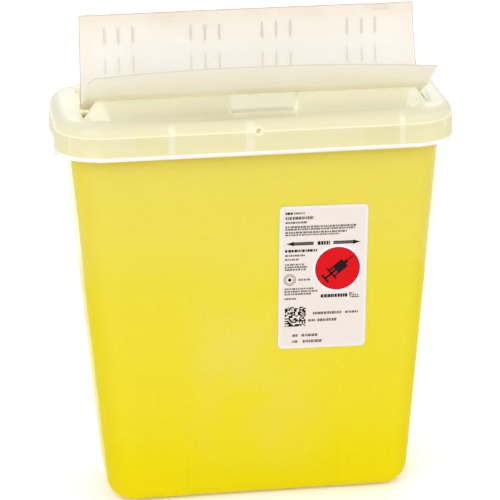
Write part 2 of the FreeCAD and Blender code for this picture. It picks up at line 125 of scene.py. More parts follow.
def ramp(tree, source, stops):
    """A colour ramp from (position, colour) stops."""
    node = tree.nodes.new("ShaderNodeValToRGB")
    elements = node.color_ramp.elements
    while len(elements) < len(stops):
        elements.new(0.5)
    for element, (place, colour) in zip(elements, stops):
        element.position = place
        element.color = (*colour, 1)
    tree.links.new(source, node.inputs["Fac"])
    return node.outputs["Color"]


def blend_colour(tree, factor, base, colour):
    """base where factor is 0, colour where it is 1."""
    node = tree.nodes.new("ShaderNodeMix")
    node.data_type = "RGBA"
    tree.links.new(factor, node.inputs["Factor"])
    tree.links.new(base, node.inputs["A"])
    node.inputs["B"].default_value = (*colour, 1)
    return node.outputs["Result"]


def noise(tree, scale, detail=2.0):
    node = tree.nodes.new("ShaderNodeTexNoise")
    node.inputs["Scale"].default_value = scale
    node.inputs["Detail"].default_value = detail
    tree.links.new(object_position(tree), node.inputs["Vector"])
    return node.outputs["Fac"]


def add_grain(tree, shader, scale):
    """The fine texture of a moulded or printed surface."""
    bump = tree.nodes.new("ShaderNodeBump")
    bump.inputs["Distance"].default_value = GRAIN_DEPTH
    tree.links.new(noise(tree, scale), bump.inputs["Height"])
    tree.links.new(bump.outputs["Normal"], shader.inputs["Normal"])


def vary_roughness(tree, shader, low, high, scale):
    result = map_range(tree, noise(tree, scale, 4.0), 0.3, 0.7, low, high)
    tree.links.new(result, shader.inputs["Roughness"])


def srgb(red, green, blue):
    """A colour given as 0 to 255 display values, as the linear values shaders use."""
    def linear(value):
        value = value / 255
        return value / 12.92 if value <= 0.04045 else ((value + 0.055) / 1.055) ** 2.4
    return tuple(linear(value) for value in (red, green, blue))


def scatter(shader, weight, radius, scale):
    """Light that enters the plastic and comes out again nearby."""
    shader.inputs["Subsurface Weight"].default_value = weight
    shader.inputs["Subsurface Radius"].default_value = radius
    shader.inputs["Subsurface Scale"].default_value = scale


def glow_through(tree, shader, colour, strength, extra=None):
    """A painted glow: emission, standing in for light carried through the thin wall, seen where a
    recess would otherwise be dark.
    """
    node = tree.nodes.new("ShaderNodeAmbientOcclusion")
    node.samples = 6
    node.inputs["Distance"].default_value = GLOW_REACH
    glow = map_range(tree, node.outputs["AO"], 1.0, 0.2, 0.0, strength)
    if extra is not None:
        glow = arithmetic(tree, "ADD", glow, extra)
    tree.links.new(colour, shader.inputs["Emission Color"])
    tree.links.new(glow, shader.inputs["Emission Strength"])


# ---------------------------------------------------------------- materials

def inside_glow(tree, strength):
    """Painted glow: an emission strength of strength on faces that look toward the tub's middle, 0
    on those that look away.
    """
    facing = tree.nodes.new("ShaderNodeVectorMath")
    facing.operation = "DOT_PRODUCT"
    geometry = tree.nodes.new("ShaderNodeNewGeometry")
    tree.links.new(geometry.outputs["Normal"], facing.inputs[0])
    tree.links.new(object_position(tree), facing.inputs[1])
    return map_range(tree, facing.outputs["Value"], -0.010, -0.030, 0.0, strength)


def tub_material():
    """Translucent yellow polypropylene, deeper in colour at the base and paler toward the top,
    which is painted light; the band just under the lid and the rounded corners are painted shade.
    """
    material, tree, shader = new_material("tub_plastic")
    # Painted light: the ramp turns paler toward the top, and its last stop paints a band of shade
    # just under the lid's skirt.
    height = map_range(tree, axis_value(tree, "Z"), 0.0, TUB_HEIGHT * MM)
    colour = ramp(tree, height, [
        (0.0, srgb(237, 215, 16)), (0.12, srgb(236, 215, 22)), (0.27, srgb(235, 215, 48)),
        (0.5, srgb(233, 215, 62)), (0.8, srgb(227, 212, 74)), (0.93, srgb(225, 210, 88)),
        (0.941, srgb(224, 204, 30)),
    ])
    haze = multiply(tree, window(tree, "X", -0.045, 0.045, 0.03),
                    window(tree, "Z", 0.06, 0.21, 0.05))
    clouds = map_range(tree, noise(tree, 14.0, 3.0), 0.35, 0.7)
    haze = multiply(tree, haze, clouds)
    colour = blend_colour(tree, haze, colour, srgb(234, 217, 112))
    seam = maximum(tree, window(tree, "X", -0.0652, -0.0636, 0.0009),
                   window(tree, "X", 0.0672, 0.0688, 0.0009))
    seam = multiply(tree, multiply(tree, seam, window(tree, "Z", 0.014, 0.042, 0.004)), 0.35)
    colour = blend_colour(tree, seam, colour, srgb(226, 204, 0))
    grain = map_range(tree, noise(tree, 520.0, 1.0), 0.35, 0.65, 0.0, 0.22)
    colour = blend_colour(tree, grain, colour, srgb(222, 200, 18))
    # Painted shade: the rounded side corners blend to a deeper, darker yellow.
    across = arithmetic(tree, "ABSOLUTE", axis_value(tree, "X"))
    taper = multiply(tree, axis_value(tree, "Z"), (TUB_TOP[0] - TUB_BASE[0]) / 2 / TUB_HEIGHT)
    side = arithmetic(tree, "SUBTRACT", across, taper)
    corner = multiply(tree, map_range(tree, side, 0.112, 0.130, smooth=True), 0.7)
    colour = blend_colour(tree, corner, colour, srgb(222, 202, 26))
    tree.links.new(colour, shader.inputs["Base Color"])
    scatter(shader, 0.5, (1.0, 0.85, 0.1), 0.006)
    vary_roughness(tree, shader, 0.16, 0.26, 60)
    sheen = map_range(tree, axis_value(tree, "Z"), 0.195, 0.245, 0.01, 0.32, smooth=True)
    tree.links.new(sheen, shader.inputs["Specular IOR Level"])
    # Painted glow: the tub's inner faces give off their own colour as light.
    tree.links.new(colour, shader.inputs["Emission Color"])
    tree.links.new(inside_glow(tree, 0.12), shader.inputs["Emission Strength"])
    add_grain(tree, shader, 1800)
    return material


def lid_material():
    """Natural polypropylene that picks up yellow from the tub, with a white lip, a painted
    highlight line along the ledge and a painted glow in its recesses.
    """
    material, tree, shader = new_material("lid_plastic")
    height = map_range(tree, axis_value(tree, "Z"), LID_LIP, LID_CREST)
    # The stops from about 0.43 to 0.45 paint a highlight line along the ledge.
    colour = ramp(tree, height, [
        (0.0, srgb(252, 251, 246)), (0.068, srgb(252, 251, 246)), (0.082, srgb(235, 228, 176)),
        (0.422, srgb(236, 230, 188)), (0.432, srgb(244, 240, 214)), (0.448, srgb(244, 240, 214)),
        (0.456, srgb(230, 224, 186)), (0.62, srgb(231, 227, 198)), (0.68, srgb(242, 240, 216)),
        (0.78, srgb(242, 240, 218)), (1.0, srgb(241, 239, 214)),
    ])
    front = map_range(tree, axis_value(tree, "Y"), -0.066, -0.069)
    skirt = window(tree, "Z", SKIRT_FOOT, 0.3395, 0.0008)
    tabs = maximum(tree, window(tree, "X", -0.104, -0.079, 0.001),
                   window(tree, "X", 0.087, 0.117, 0.001))
    tabs = multiply(tree, multiply(tree, tabs, multiply(tree, skirt, front)), 0.35)
    colour = blend_colour(tree, tabs, colour, srgb(232, 221, 158))
    bands = maximum(tree, window(tree, "X", -0.0775, -0.072, 0.001),
                    window(tree, "X", 0.117, 0.1215, 0.001))
    bands = maximum(tree, bands, window(tree, "X", -0.0124, -0.0057, 0.0015))
    raised = window(tree, "Z", SKIRT_FOOT, 0.3490, 0.0015)
    bands = multiply(tree, multiply(tree, bands, multiply(tree, raised, front)), 0.4)
    colour = blend_colour(tree, bands, colour, srgb(252, 250, 232))
    tree.links.new(colour, shader.inputs["Base Color"])
    scatter(shader, 0.45, (1.0, 0.97, 0.75), 0.004)
    # Painted glow: extra emission in the deck well and the notch, which would otherwise sit in
    # shade.
    well = multiply(tree, window(tree, "X", -0.1495, 0.1495, 0.001),
                    window(tree, "Y", -0.048, 0.048, 0.001))
    well = multiply(tree, well, window(tree, "Z", 0.338, 0.3515, 0.0005))
    notch = multiply(tree, window(tree, "X", -0.024, 0.033, 0.003),
                     window(tree, "Y", -0.063, -0.0470, 0.001))
    notch = multiply(tree, notch, window(tree, "Z", 0.3535, 0.368, 0.0015))
    recess = maximum(tree, multiply(tree, well, 0.14), multiply(tree, notch, 0.18))
    glow_through(tree, shader, colour, 0.28, recess)
    vary_roughness(tree, shader, 0.28, 0.40, 90)
    add_grain(tree, shader, 1600)
    return material


def sheet_material(name, stops, low, high, scale, tint, glow, ends=0.0):
    """A thin natural polypropylene sheet with a faint milky variation.

    The stops run from height low to height high, ends paints shade on its two ends, and glow sets
    a painted glow in its recesses."""
    material, tree, shader = new_material(name)
    height = map_range(tree, axis_value(tree, "Z"), low, high)
    colour = ramp(tree, height, stops)
    clouds = map_range(tree, noise(tree, 26.0, 4.0), 0.4, 0.75, 0.0, 0.5)
    colour = blend_colour(tree, clouds, colour, tint)
    # Painted shade toward the sheet's two ends.
    if ends:
        across = arithmetic(tree, "ABSOLUTE", axis_value(tree, "X"))
        painted_end_shade = map_range(tree, across, 0.116, 0.140, 0.0, ends, smooth=True)
        colour = blend_colour(tree, painted_end_shade, colour, srgb(206, 192, 172))
    tree.links.new(colour, shader.inputs["Base Color"])
    scatter(shader, 1.0, (1.0, 0.97, 0.9), scale)
    glow_through(tree, shader, colour, glow)
    vary_roughness(tree, shader, 0.36, 0.48, 80)
    add_grain(tree, shader, 1400)
    return material


def plain_material(name, colour, low, high, specular=0.5):
    """An even colour with a fine grain and a roughness that varies from low to high."""
    material, tree, shader = new_material(name)
    shader.inputs["Base Color"].default_value = (*colour, 1)
    shader.inputs["Specular IOR Level"].default_value = specular
    vary_roughness(tree, shader, low, high, 140)
    add_grain(tree, shader, 900)
    return material


MATERIALS = {
    "tub_plastic": tub_material(),
    "lid_plastic": lid_material(),
    "door_plastic": sheet_material("door_plastic", [
        (0.0, srgb(205, 198, 164)), (0.5, srgb(199, 191, 162)), (1.0, srgb(202, 193, 172)),
    ], low=0.355, high=0.400, scale=0.012, tint=srgb(209, 201, 175), glow=0.22),
    # Painted shade: the panel's stops darken toward its top, and its ends are painted darker too.
    "panel_plastic": sheet_material("panel_plastic", [
        (0.0, srgb(250, 240, 233)), (0.29, srgb(247, 237, 228)), (0.44, srgb(241, 229, 219)),
        (0.62, srgb(234, 220, 207)), (0.77, srgb(227, 212, 197)), (0.89, srgb(212, 196, 178)),
        (1.0, srgb(205, 188, 168)),
    ], low=0.360, high=0.425, scale=0.010, tint=srgb(232, 220, 206), glow=0.12, ends=0.45),
    "gasket_rubber": plain_material("gasket_rubber", srgb(214, 212, 204), 0.6, 0.75),
    "label_film": plain_material("label_film", srgb(231, 225, 231), 0.35, 0.45),
}
# Painted shade along the panel's edges and rim rows.
PANEL_EDGE_SHADE = plain_material("panel_edge_shade", srgb(206, 184, 146), 0.4, 0.5)
# Painted shade along the flap's edges.
DOOR_EDGE_SHADE = plain_material("door_edge_shade", srgb(214, 210, 198), 0.4, 0.5)
# Painted shade of the ribs seen through the panel, strong and faint, and the painted shadow under
# the lip.
MARK_SHADE = plain_material("panel_shade_marks", srgb(236, 227, 210), 0.4, 0.5)
MARK_FAINT_SHADE = plain_material("panel_faint_shade_marks", srgb(247, 237, 219), 0.4, 0.5)
# Painted highlight for the gate's ring, and painted shade for its pit.
GATE_HIGHLIGHT = plain_material("gate_rim_highlight", srgb(248, 244, 214), 0.4, 0.5)
GATE_SHADE = plain_material("gate_pit_shade", srgb(168, 160, 126), 0.5, 0.6)
LABEL_FIELD = plain_material("label_field", srgb(230, 219, 209), 0.35, 0.45)
LABEL_WHITE = plain_material("label_white", srgb(250, 250, 252), 0.35, 0.45)
LABEL_RED = plain_material("label_red", srgb(214, 0, 12), 0.45, 0.55, specular=0.15)
INK_BLACK = plain_material("ink_black", srgb(14, 12, 14), 0.45, 0.55, specular=0.15)
INK_GREY = plain_material("ink_grey", srgb(104, 94, 88), 0.45, 0.55, specular=0.3)

slots = {row["node"]: row["material_slot"] for row in frame["record"]["subparts"]}
for node, piece in frame["nodes"].items():
    for slot in piece.material_slots:
        slot.material = MATERIALS[slots[node]]


# ---------------------------------------------------------------- mesh helpers

def add_piece(name, mesh, body, slot, materials=(), replaced=(), sharp=35):
    """Put a mesh in the scene, riding on a CAD body. Meshes are drawn in millimetres."""
    mesh.transform(Matrix.Scale(MM, 4))
    for material in materials or (MATERIALS[slot],):
        mesh.materials.append(material)
    mesh.shade_smooth()
    mesh.set_sharp_from_angle(angle=math.radians(sharp))
    piece = bpy.data.objects.new(name, mesh)
    bpy.context.collection.objects.link(piece)
    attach(piece, body)
    if replaced:
        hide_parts(*replaced)
    return piece


def outline(width, depth, radius, corner_steps=14, side_steps=40):
    """Points around a rounded rectangle centred on the origin, anticlockwise from above."""
    across, along = width / 2 - radius, depth / 2 - radius
    arcs = []
    for centre_x, centre_y, start in ((-across, -along, 180), (across, -along, 270),
                                      (across, along, 0), (-across, along, 90)):
        arc = []
        for step in range(corner_steps + 1):
            angle = math.radians(start + 90 * step / corner_steps)
            arc.append((centre_x + radius * math.cos(angle), centre_y + radius * math.sin(angle)))
        arcs.append(arc)
    points = []
    for number, arc in enumerate(arcs):
        points += arc
        (x0, y0), (x1, y1) = arc[-1], arcs[(number + 1) % 4][0]
        for step in range(1, side_steps):
            share = step / side_steps
            points.append((x0 + (x1 - x0) * share, y0 + (y1 - y0) * share))
    return points


def mesh_from_rings(name, rings, cap_first=True, cap_last=True):
    """A skin over equal rings of points; the ends are closed with flat faces."""
    count = len(rings[0])
    vertices = [point for ring in rings for point in ring]
    faces = []
    for lower in range(len(rings) - 1):
        for number in range(count):
            following = (number + 1) % count
            faces.append((lower * count + number, lower * count + following,
                          (lower + 1) * count + following, (lower + 1) * count + number))
    if cap_first:
        faces.append(tuple(reversed(range(count))))
    if cap_last:
        faces.append(tuple(range((len(rings) - 1) * count, len(rings) * count)))
    mesh = bpy.data.meshes.new(name)
    mesh.from_pydata(vertices, [], faces)
    return mesh


def mesh_from_plate(name, front, back, rim=0):
    """A thin plate between two equal grids of points.

    Its edge faces, and the outermost rim rows of its faces, get the second material."""
    rows, columns = len(front), len(front[0])
    vertices = [point for grid in (front, back) for line in grid for point in line]
    offset = rows * columns

    def at(row, column):
        return row * columns + column

    faces, outer = [], set()
    for row in range(rows - 1):
        for column in range(columns - 1):
            quad = (at(row, column), at(row, column + 1),
                    at(row + 1, column + 1), at(row + 1, column))
            if min(row, column, rows - 2 - row, columns - 2 - column) < rim:
                outer.update((len(faces), len(faces) + 1))
            faces.append(quad)
            faces.append(tuple(offset + corner for corner in reversed(quad)))
    border = [at(0, column) for column in range(columns)]
    border += [at(row, columns - 1) for row in range(1, rows)]
    border += [at(rows - 1, column) for column in range(columns - 2, -1, -1)]
    border += [at(row, 0) for row in range(rows - 2, 0, -1)]
    broad = len(faces)
    for number, first in enumerate(border):
        second = border[(number + 1) % len(border)]
        faces.append((second, first, offset + first, offset + second))
    mesh = bpy.data.meshes.new(name)
    mesh.from_pydata(vertices, [], faces)
    for polygon in mesh.polygons:
        polygon.material_index = 1 if polygon.index >= broad or polygon.index in outer else 0
    return mesh


def add_block(bm, place, low, high, bevel=0.0):
    """A box between two corners given in a piece's own frame; place maps it into the model."""
    corners = [(x, y, z) for z in (low[2], high[2]) for y in (low[1], high[1])
               for x in (low[0], high[0])]
    made = [bm.verts.new(place @ Vector(corner)) for corner in corners]
    faces = [(0, 2, 3, 1), (4, 5, 7, 6), (0, 1, 5, 4), (2, 6, 7, 3), (0, 4, 6, 2), (1, 3, 7, 5)]
    new = [bm.faces.new([made[index] for index in face]) for face in faces]
    if bevel:
        edges = list(dict.fromkeys(edge for face in new for edge in face.edges))
        bmesh.ops.bevel(bm, geom=edges, offset=bevel, segments=2, affect="EDGES")


def add_rod(bm, place, radius, low, high, steps=24):
    """A rod along X with rounded ends."""
    inset = radius * 0.25
    rings = []
    for x, r in ((low, radius - inset), (low + inset, radius), (high - inset, radius),
                 (high, radius - inset)):
        ring = []
        for step in range(steps):
            angle = 2 * math.pi * step / steps
            point = Vector((x, r * math.cos(angle), r * math.sin(angle)))
            ring.append(bm.verts.new(place @ point))
        rings.append(ring)
    for first, second in zip(rings, rings[1:]):
        for number in range(steps):
            following = (number + 1) % steps
            bm.faces.new((first[number], first[following], second[following], second[number]))
    bm.faces.new(list(reversed(rings[0])))
    bm.faces.new(rings[-1])


def mesh_from_bmesh(name, bm):
    bmesh.ops.recalc_face_normals(bm, faces=bm.faces)
    mesh = bpy.data.meshes.new(name)
    bm.to_mesh(mesh)
    bm.free()
    return mesh


def smooth_step(low, high, value):
    share = min(1.0, max(0.0, (value - low) / (high - low)))
    return share * share * (3 - 2 * share)


# ---------------------------------------------------------------- tub

TUB_WALL = 2.0
TUB_FLOOR = 2.4
FLANGE = (333.0, 141.0, 37.5)
FLANGE_THICKNESS = 3.0
FOOT_RELIEF = 0.55


def tub_ring(level, inset):
    share = level / TUB_HEIGHT
    width, depth, radius = (base + (top - base) * share for base, top in zip(TUB_BASE, TUB_TOP))
    return outline(width - 2 * inset, depth - 2 * inset, max(radius - inset, 1.0))


def relieve_foot(x, y, level):
    """The middle of the foot's front and back stands in by half a millimetre."""
    if abs(y) < 30:
        return x, y
    share = (1 - smooth_step(64, 68, abs(x - 2))) * (1 - smooth_step(32, 42, level))
    return x, y - math.copysign(FOOT_RELIEF * share, y)


def make_tub():
    outer = []
    bottom_round = 18.0
    for step in range(13):
        angle = math.radians(90 * step / 12)
        outer.append((bottom_round * (1 - math.cos(angle)), bottom_round * (1 - math.sin(angle))))
    outer += [(level, 0) for level in (22, 26, 30, 34, 38, 60, 120, 180, 240, 300,
                                       TUB_HEIGHT - FLANGE_THICKNESS)]
    rings = [[(*relieve_foot(x, y, level), level) for x, y in tub_ring(level, inset)]
             for level, inset in outer]
    width, depth, radius = FLANGE
    for level, inset in ((-3.0, 0.6), (-2.4, 0.0), (-0.6, 0.0), (0.0, 0.6)):
        rings.append([(x, y, TUB_HEIGHT + level)
                      for x, y in outline(width - 2 * inset, depth - 2 * inset, radius - inset)])
    for level in (TUB_HEIGHT, 240, 120, 40):
        rings.append([(x, y, level) for x, y in tub_ring(level, TUB_WALL)])
    inner_round = 15.0
    for step in range(8, -1, -1):
        angle = math.radians(90 * step / 8)
        level = TUB_FLOOR + inner_round * (1 - math.cos(angle))
        inset = TUB_WALL + inner_round * (1 - math.sin(angle))
        rings.append([(x, y, level) for x, y in tub_ring(level, inset)])
    mesh = mesh_from_rings("tub", rings)
    add_piece("tub_shell", mesh, HOUSING, "tub_plastic", replaced=("container_body",), sharp=50)


# ---------------------------------------------------------------- lid

LID = (340.0, 148.0, 41.0)
BEAD_TOP = 323.6
BEAD_PROUD = 0.8
LEDGE_LEVEL = 340.5
EDGE_ROUND = 0.55


def depth_inside(x, y, width, depth, radius):
    """How far a point lies inside a rounded rectangle, and the direction outward from there."""
    across = max(abs(x) - (width / 2 - radius), 0.0)
    along = max(abs(y) - (depth / 2 - radius), 0.0)
    reach = math.hypot(across, along)
    if reach == 0:
        return radius, (0.0, 0.0)
    return radius - reach, (math.copysign(across / reach, x), math.copysign(along / reach, y))


def make_lid():
    """The CAD lid's own faces, with a raised lip bead and softened edges."""
    bm = bmesh.new()
    bm.from_mesh(frame["nodes"]["lid_frame"].data)
    bmesh.ops.scale(bm, vec=(1 / MM, 1 / MM, 1 / MM), verts=bm.verts)
    bmesh.ops.remove_doubles(bm, verts=bm.verts, dist=0.002)
    bmesh.ops.dissolve_limit(bm, angle_limit=math.radians(0.6), verts=bm.verts, edges=bm.edges)
    for level in (BEAD_TOP, BEAD_TOP + 0.5):
        geometry = list(bm.verts) + list(bm.edges) + list(bm.faces)
        bmesh.ops.bisect_plane(bm, geom=geometry, plane_co=(0, 0, level), plane_no=(0, 0, 1))
    for vertex in bm.verts:
        x, y, level = vertex.co
        if BEAD_TOP + 0.3 < level < LEDGE_LEVEL + 0.2:
            inside, (out_x, out_y) = depth_inside(x, y, *LID)
            if abs(inside) < 0.3:
                vertex.co.x -= BEAD_PROUD * out_x
                vertex.co.y -= BEAD_PROUD * out_y
    edges = [edge for edge in bm.edges
             if len(edge.link_faces) == 2 and edge.calc_face_angle(0) > math.radians(24)]
    bmesh.ops.bevel(bm, geom=edges, offset=EDGE_ROUND, segments=3, profile=0.5, affect="EDGES",
                    clamp_overlap=True)
    mesh = mesh_from_bmesh("lid", bm)
    add_piece("lid_shell", mesh, HOUSING, "lid_plastic", replaced=("lid_frame",), sharp=40)


def make_gate():
    """The moulding gate on the ledge's front edge: a low ring in a painted highlight colour, with
    two short dark bars of painted shade in its pit.
    """
    place = Matrix.Translation((-2.4, -72.8, 341.4)) @ Matrix.Rotation(math.radians(-12), 4, "X")
    bm = bmesh.new()
    ring_bars(bm, place, 0.0, 0.0, 4.0, 3.0, 0.40, 32)
    add_piece("gate_ring", mesh_from_bmesh("gate_ring", bm), HOUSING, "lid_plastic",
              materials=(GATE_HIGHLIGHT,))
    bm = bmesh.new()
    turn = place @ Matrix.Rotation(math.radians(28), 4, "Y")
    for x, z in ((0.3, 0.9), (-0.3, -0.9)):
        add_flat(bm, turn, bar(x - 1.1, x + 1.1, z - 0.45, z + 0.45), 0.22)
    add_piece("gate_pit_shade", mesh_from_bmesh("gate_pit_shade", bm), HOUSING, "lid_plastic",
              materials=(GATE_SHADE,))


# ---------------------------------------------------------------- swing door

DOOR_PATH = [(-98.0, 396.0), (-47.0, 367.3), (-18.0, 352.0)]
DOOR_AXIS = (-41.0, 358.0)
DOOR_THICKNESS = 1.3
DOOR_BEAD = 1.7
DOOR_HALF_WIDTH = 143.2
# Where the rounded knee begins and ends, as shares of the door's two straight runs.
KNEE_START, KNEE_END = 0.88, 0.2


def door_profile():
    """Points down the door's section from the lip to the tail, rounded at the knee."""
    (y0, z0), (y1, z1), (y2, z2) = DOOR_PATH
    points = []
    for step in range(11):
        share = step / 10 * KNEE_START
        points.append((y0 + (y1 - y0) * share, z0 + (z1 - z0) * share))
    ahead = points[-1]
    behind = (y1 + (y2 - y1) * KNEE_END, z1 + (z2 - z1) * KNEE_END)
    for step in range(1, 7):
        share = step / 7
        points.append(tuple(a * (1 - share) ** 2 + 2 * b * share * (1 - share) + c * share ** 2
                            for a, b, c in zip(ahead, (y1, z1), behind)))
    for step in range(7):
        share = KNEE_END + (1 - KNEE_END) * step / 6
        points.append((y1 + (y2 - y1) * share, z1 + (z2 - z1) * share))
    return points


def door_lift(x, y):
    """The flap is moulded thin and bows up between its ends, most at the lip."""
    bow = 6.2 * (1 - abs((x + 12) / 157) ** 2.2)
    return bow * smooth_step(-46, -98, y)


def make_door():
    """The flap, with a low bead under it that closes the slot over the fairing's ridge."""
    profile = door_profile()
    columns = 72
    under, upper = [], []
    for row, (y, z) in enumerate(profile):
        before = profile[max(row - 1, 0)]
        after = profile[min(row + 1, len(profile) - 1)]
        run, rise = after[0] - before[0], after[1] - before[1]
        length = math.hypot(run, rise)
        normal = (-rise / length, run / length)
        down = row / (len(profile) - 1)
        half = DOOR_HALF_WIDTH + 1.6 * smooth_step(0.0, 0.35, down)
        left_cut = 3.5 * (1 - smooth_step(0.0, 0.13, down))
        bead = DOOR_BEAD * smooth_step(-56.0, -50.0, y) * (1 - smooth_step(-48.0, -45.5, y))
        lower_line, upper_line = [], []
        for column in range(columns + 1):
            share = 2 * column / columns - 1
            x = share * (half - left_cut if share < 0 else half)
            lift = door_lift(x, y)
            lower_line.append((x, y - bead * normal[0], z + lift - bead * normal[1]))
            upper_line.append((x, y + DOOR_THICKNESS * normal[0],
                               z + lift + DOOR_THICKNESS * normal[1]))
        under.append(lower_line)
        upper.append(upper_line)
    mesh = mesh_from_plate("door", upper, under)
    add_piece("swing_flap", mesh, "door", "door_plastic",
              materials=(MATERIALS["door_plastic"], DOOR_EDGE_SHADE), replaced=("swing_door",), sharp=60)
    bm = bmesh.new()
    y, z = DOOR_AXIS
    for side in (-1, 1):
        left, right = sorted((side * 120.8, side * 125.4))
        add_block(bm, Matrix.Identity(4), (left, y - 3.6, z - 3.6), (right, y + 3.6, 364.0), 0.7)
        left, right = sorted((side * 121.8, side * 130.5))
        add_rod(bm, Matrix.Translation((0, y, z)), 2.2, left, right)
    add_piece("door_pivots", mesh_from_bmesh("door_pivots", bm), "door", "door_plastic")


# ---------------------------------------------------------------- closure panel

PANEL_AXIS = (3.0, 347.6)
PANEL_HEIGHT = 78.0
PANEL_LEAN = math.radians(6)
PANEL_FRAME = Matrix.Translation((0, *PANEL_AXIS)) @ Matrix.Rotation(-PANEL_LEAN, 4, "X")
PANEL_HALF_WIDTH = 143.0
PANEL_HALF_THICKNESS = 0.65
# The upright marks' places along the panel, the heights of their two rows, and the dark line
# under the thumb lip as (middle, half width, low, high) of its parts. The marks are painted
# shade of the ribs behind the sheet, and the line is a painted shadow under the lip.
MARK_COLUMNS = (-121.8, -110.0, -97.8, -48.4, -36.3, -24.0, 12.8, 24.6, 36.9, 86.0, 98.6, 110.3)
MARK_ROWS = ((52.9, 66.0), (28.0, 41.2))
LIP_SHADOW_LINE = [(x, 2.4, 72.6, 73.4) for x in (111.2, 116.0, 120.8)]


def panel_shape(share, height):
    """A point halfway through the panel's thickness, in the panel's own frame."""
    up = height / PANEL_HEIGHT
    left = 142.7 + 1.5 * (1 - up)
    right = 143.3 + 5.0 * (1 - up) ** 1.8 * smooth_step(8, 16, height)
    x = share * (right if share > 0 else left)
    bow = -1.6 * up * (1 - share * share)
    lip = -2.4 * smooth_step(0.68, 0.74, share) * (1 - smooth_step(0.84, 0.92, share))
    curl = lip * smooth_step(PANEL_HEIGHT - 4.0, PANEL_HEIGHT - 0.5, height)
    sag = 0.5 * smooth_step(0.2, 1.0, abs(share)) if share < 0 else 0.3 * abs(share)
    return Vector((x, bow + curl, height + up * (0.2 - sag)))


def panel_face(x, height):
    """How far the middle of the sheet stands back at a point, in the panel's own frame."""
    return panel_shape(x / PANEL_HALF_WIDTH, height).y


def make_panel():
    rows, columns = 40, 120
    heights = [0.0, 0.5] + [PANEL_HEIGHT * row / rows for row in range(1, rows)]
    heights += [PANEL_HEIGHT - share for share in (1.5, 1.0, 0.5, 0.0)]
    shares = [-1.0, -0.9965] + [2 * column / columns - 1 for column in range(1, columns)]
    shares += [0.9965, 1.0]
    front, back = [], []
    for height in heights:
        front_line, back_line = [], []
        for share in shares:
            point = panel_shape(share, height)
            outward = Vector((0, -PANEL_HALF_THICKNESS, 0))
            front_line.append(tuple(PANEL_FRAME @ (point + outward)))
            back_line.append(tuple(PANEL_FRAME @ (point - outward)))
        front.append(front_line)
        back.append(back_line)
    mesh = mesh_from_plate("panel", front, back, rim=1)
    add_piece("closure_sheet", mesh, "panel", "panel_plastic",
              materials=(MATERIALS["panel_plastic"], PANEL_EDGE_SHADE), replaced=("closure_panel",),
              sharp=60)

    bm = bmesh.new()
    add_rod(bm, PANEL_FRAME, 3.0, -143.2, 143.2)
    add_rod(bm, PANEL_FRAME, 2.2, -148.6, 148.6)
    add_piece("panel_hinge", mesh_from_bmesh("panel_hinge", bm), "panel", "panel_plastic")

    bm = bmesh.new()
    for half, (low, high) in zip((0.5, 0.22), MARK_ROWS):
        for x in MARK_COLUMNS:
            face = panel_face(x, (low + high) / 2)
            add_block(bm, PANEL_FRAME, (x - half, face + 0.45, low),
                      (x + half, face + 0.90, high), 0.1)
    add_piece("panel_ribs", mesh_from_bmesh("panel_ribs", bm), "panel", "panel_plastic")

    # The marks are painted shade of the ribs, and the lip line is a painted shadow under the thumb
    # lip.
    upper = [(x, 0.7, *MARK_ROWS[0]) for x in MARK_COLUMNS] + LIP_SHADOW_LINE
    lower = [(x, 0.4, *MARK_ROWS[1]) for x in MARK_COLUMNS]
    for name, tint, marks in (("panel_shade_marks", MARK_SHADE, upper),
                              ("panel_faint_shade_marks", MARK_FAINT_SHADE, lower)):
        bm = bmesh.new()
        for x, half, low, high in marks:
            face = panel_face(x, (low + high) / 2) - PANEL_HALF_THICKNESS
            add_block(bm, PANEL_FRAME, (x - half, face - 0.10, low), (x + half, face + 0.2, high))
        add_piece(name, mesh_from_bmesh(name, bm), "panel", "panel_plastic", materials=(tint,))


# ---------------------------------------------------------------- label

LABEL_SIZE = (76.0, 129.6, 4.0)
LABEL_BORDER = 2.5
DISC_CENTRE = (12.6, 7.4)
DISC_RADIUS = 19.5
DISC_RIM = 1.6
# How far each printed layer stands out from the tub.
FILM_TOP, FIELD_TOP, INK_TOP, DISC_TOP, PICTOGRAM_TOP = 0.30, 0.33, 0.36, 0.39, 0.42


def label_frame():
    """The label's own frame: x right, y into the tub, z up its sloping face."""
    low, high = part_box("front_label")
    middle = (low + high) / (2 * MM)
    slope = math.atan((TUB_TOP[1] - TUB_BASE[1]) / 2 / TUB_HEIGHT)
    face = -TUB_BASE[1] / 2 - (TUB_TOP[1] - TUB_BASE[1]) / 2 * middle.z / TUB_HEIGHT
    place = Matrix.Translation((middle.x, face, middle.z - 0.8)) @ Matrix.Rotation(slope, 4, "X")
    return place @ Matrix.Rotation(math.radians(0.9), 4, "Y")


def add_flat(bm, place, points, near):
    """A flat prism of an outline in the place's own plane, standing out from it by near."""
    front = [bm.verts.new(place @ Vector((x, -near, z))) for x, z in points]
    back = [bm.verts.new(place @ Vector((x, 0.0, z))) for x, z in points]
    bm.faces.new(front)
    bm.faces.new(list(reversed(back)))
    for number in range(len(points)):
        following = (number + 1) % len(points)
        bm.faces.new((front[following], front[number], back[number], back[following]))


def bar(left, right, low, high):
    return [(left, low), (right, low), (right, high), (left, high)]


def disc(x, z, radius, steps=64):
    return [(x + radius * math.cos(2 * math.pi * step / steps),
             z + radius * math.sin(2 * math.pi * step / steps)) for step in range(steps)]


def ring_bars(bm, place, x, z, outer, inner, near, steps=40):
    """A flat ring drawn as short four-sided pieces."""
    for step in range(steps):
        first, second = (2 * math.pi * (step + share) / steps for share in (0, 1))
        add_flat(bm, place, [(x + r * math.cos(a), z + r * math.sin(a))
                             for r, a in ((outer, first), (outer, second), (inner, second),
                                          (inner, first))], near)


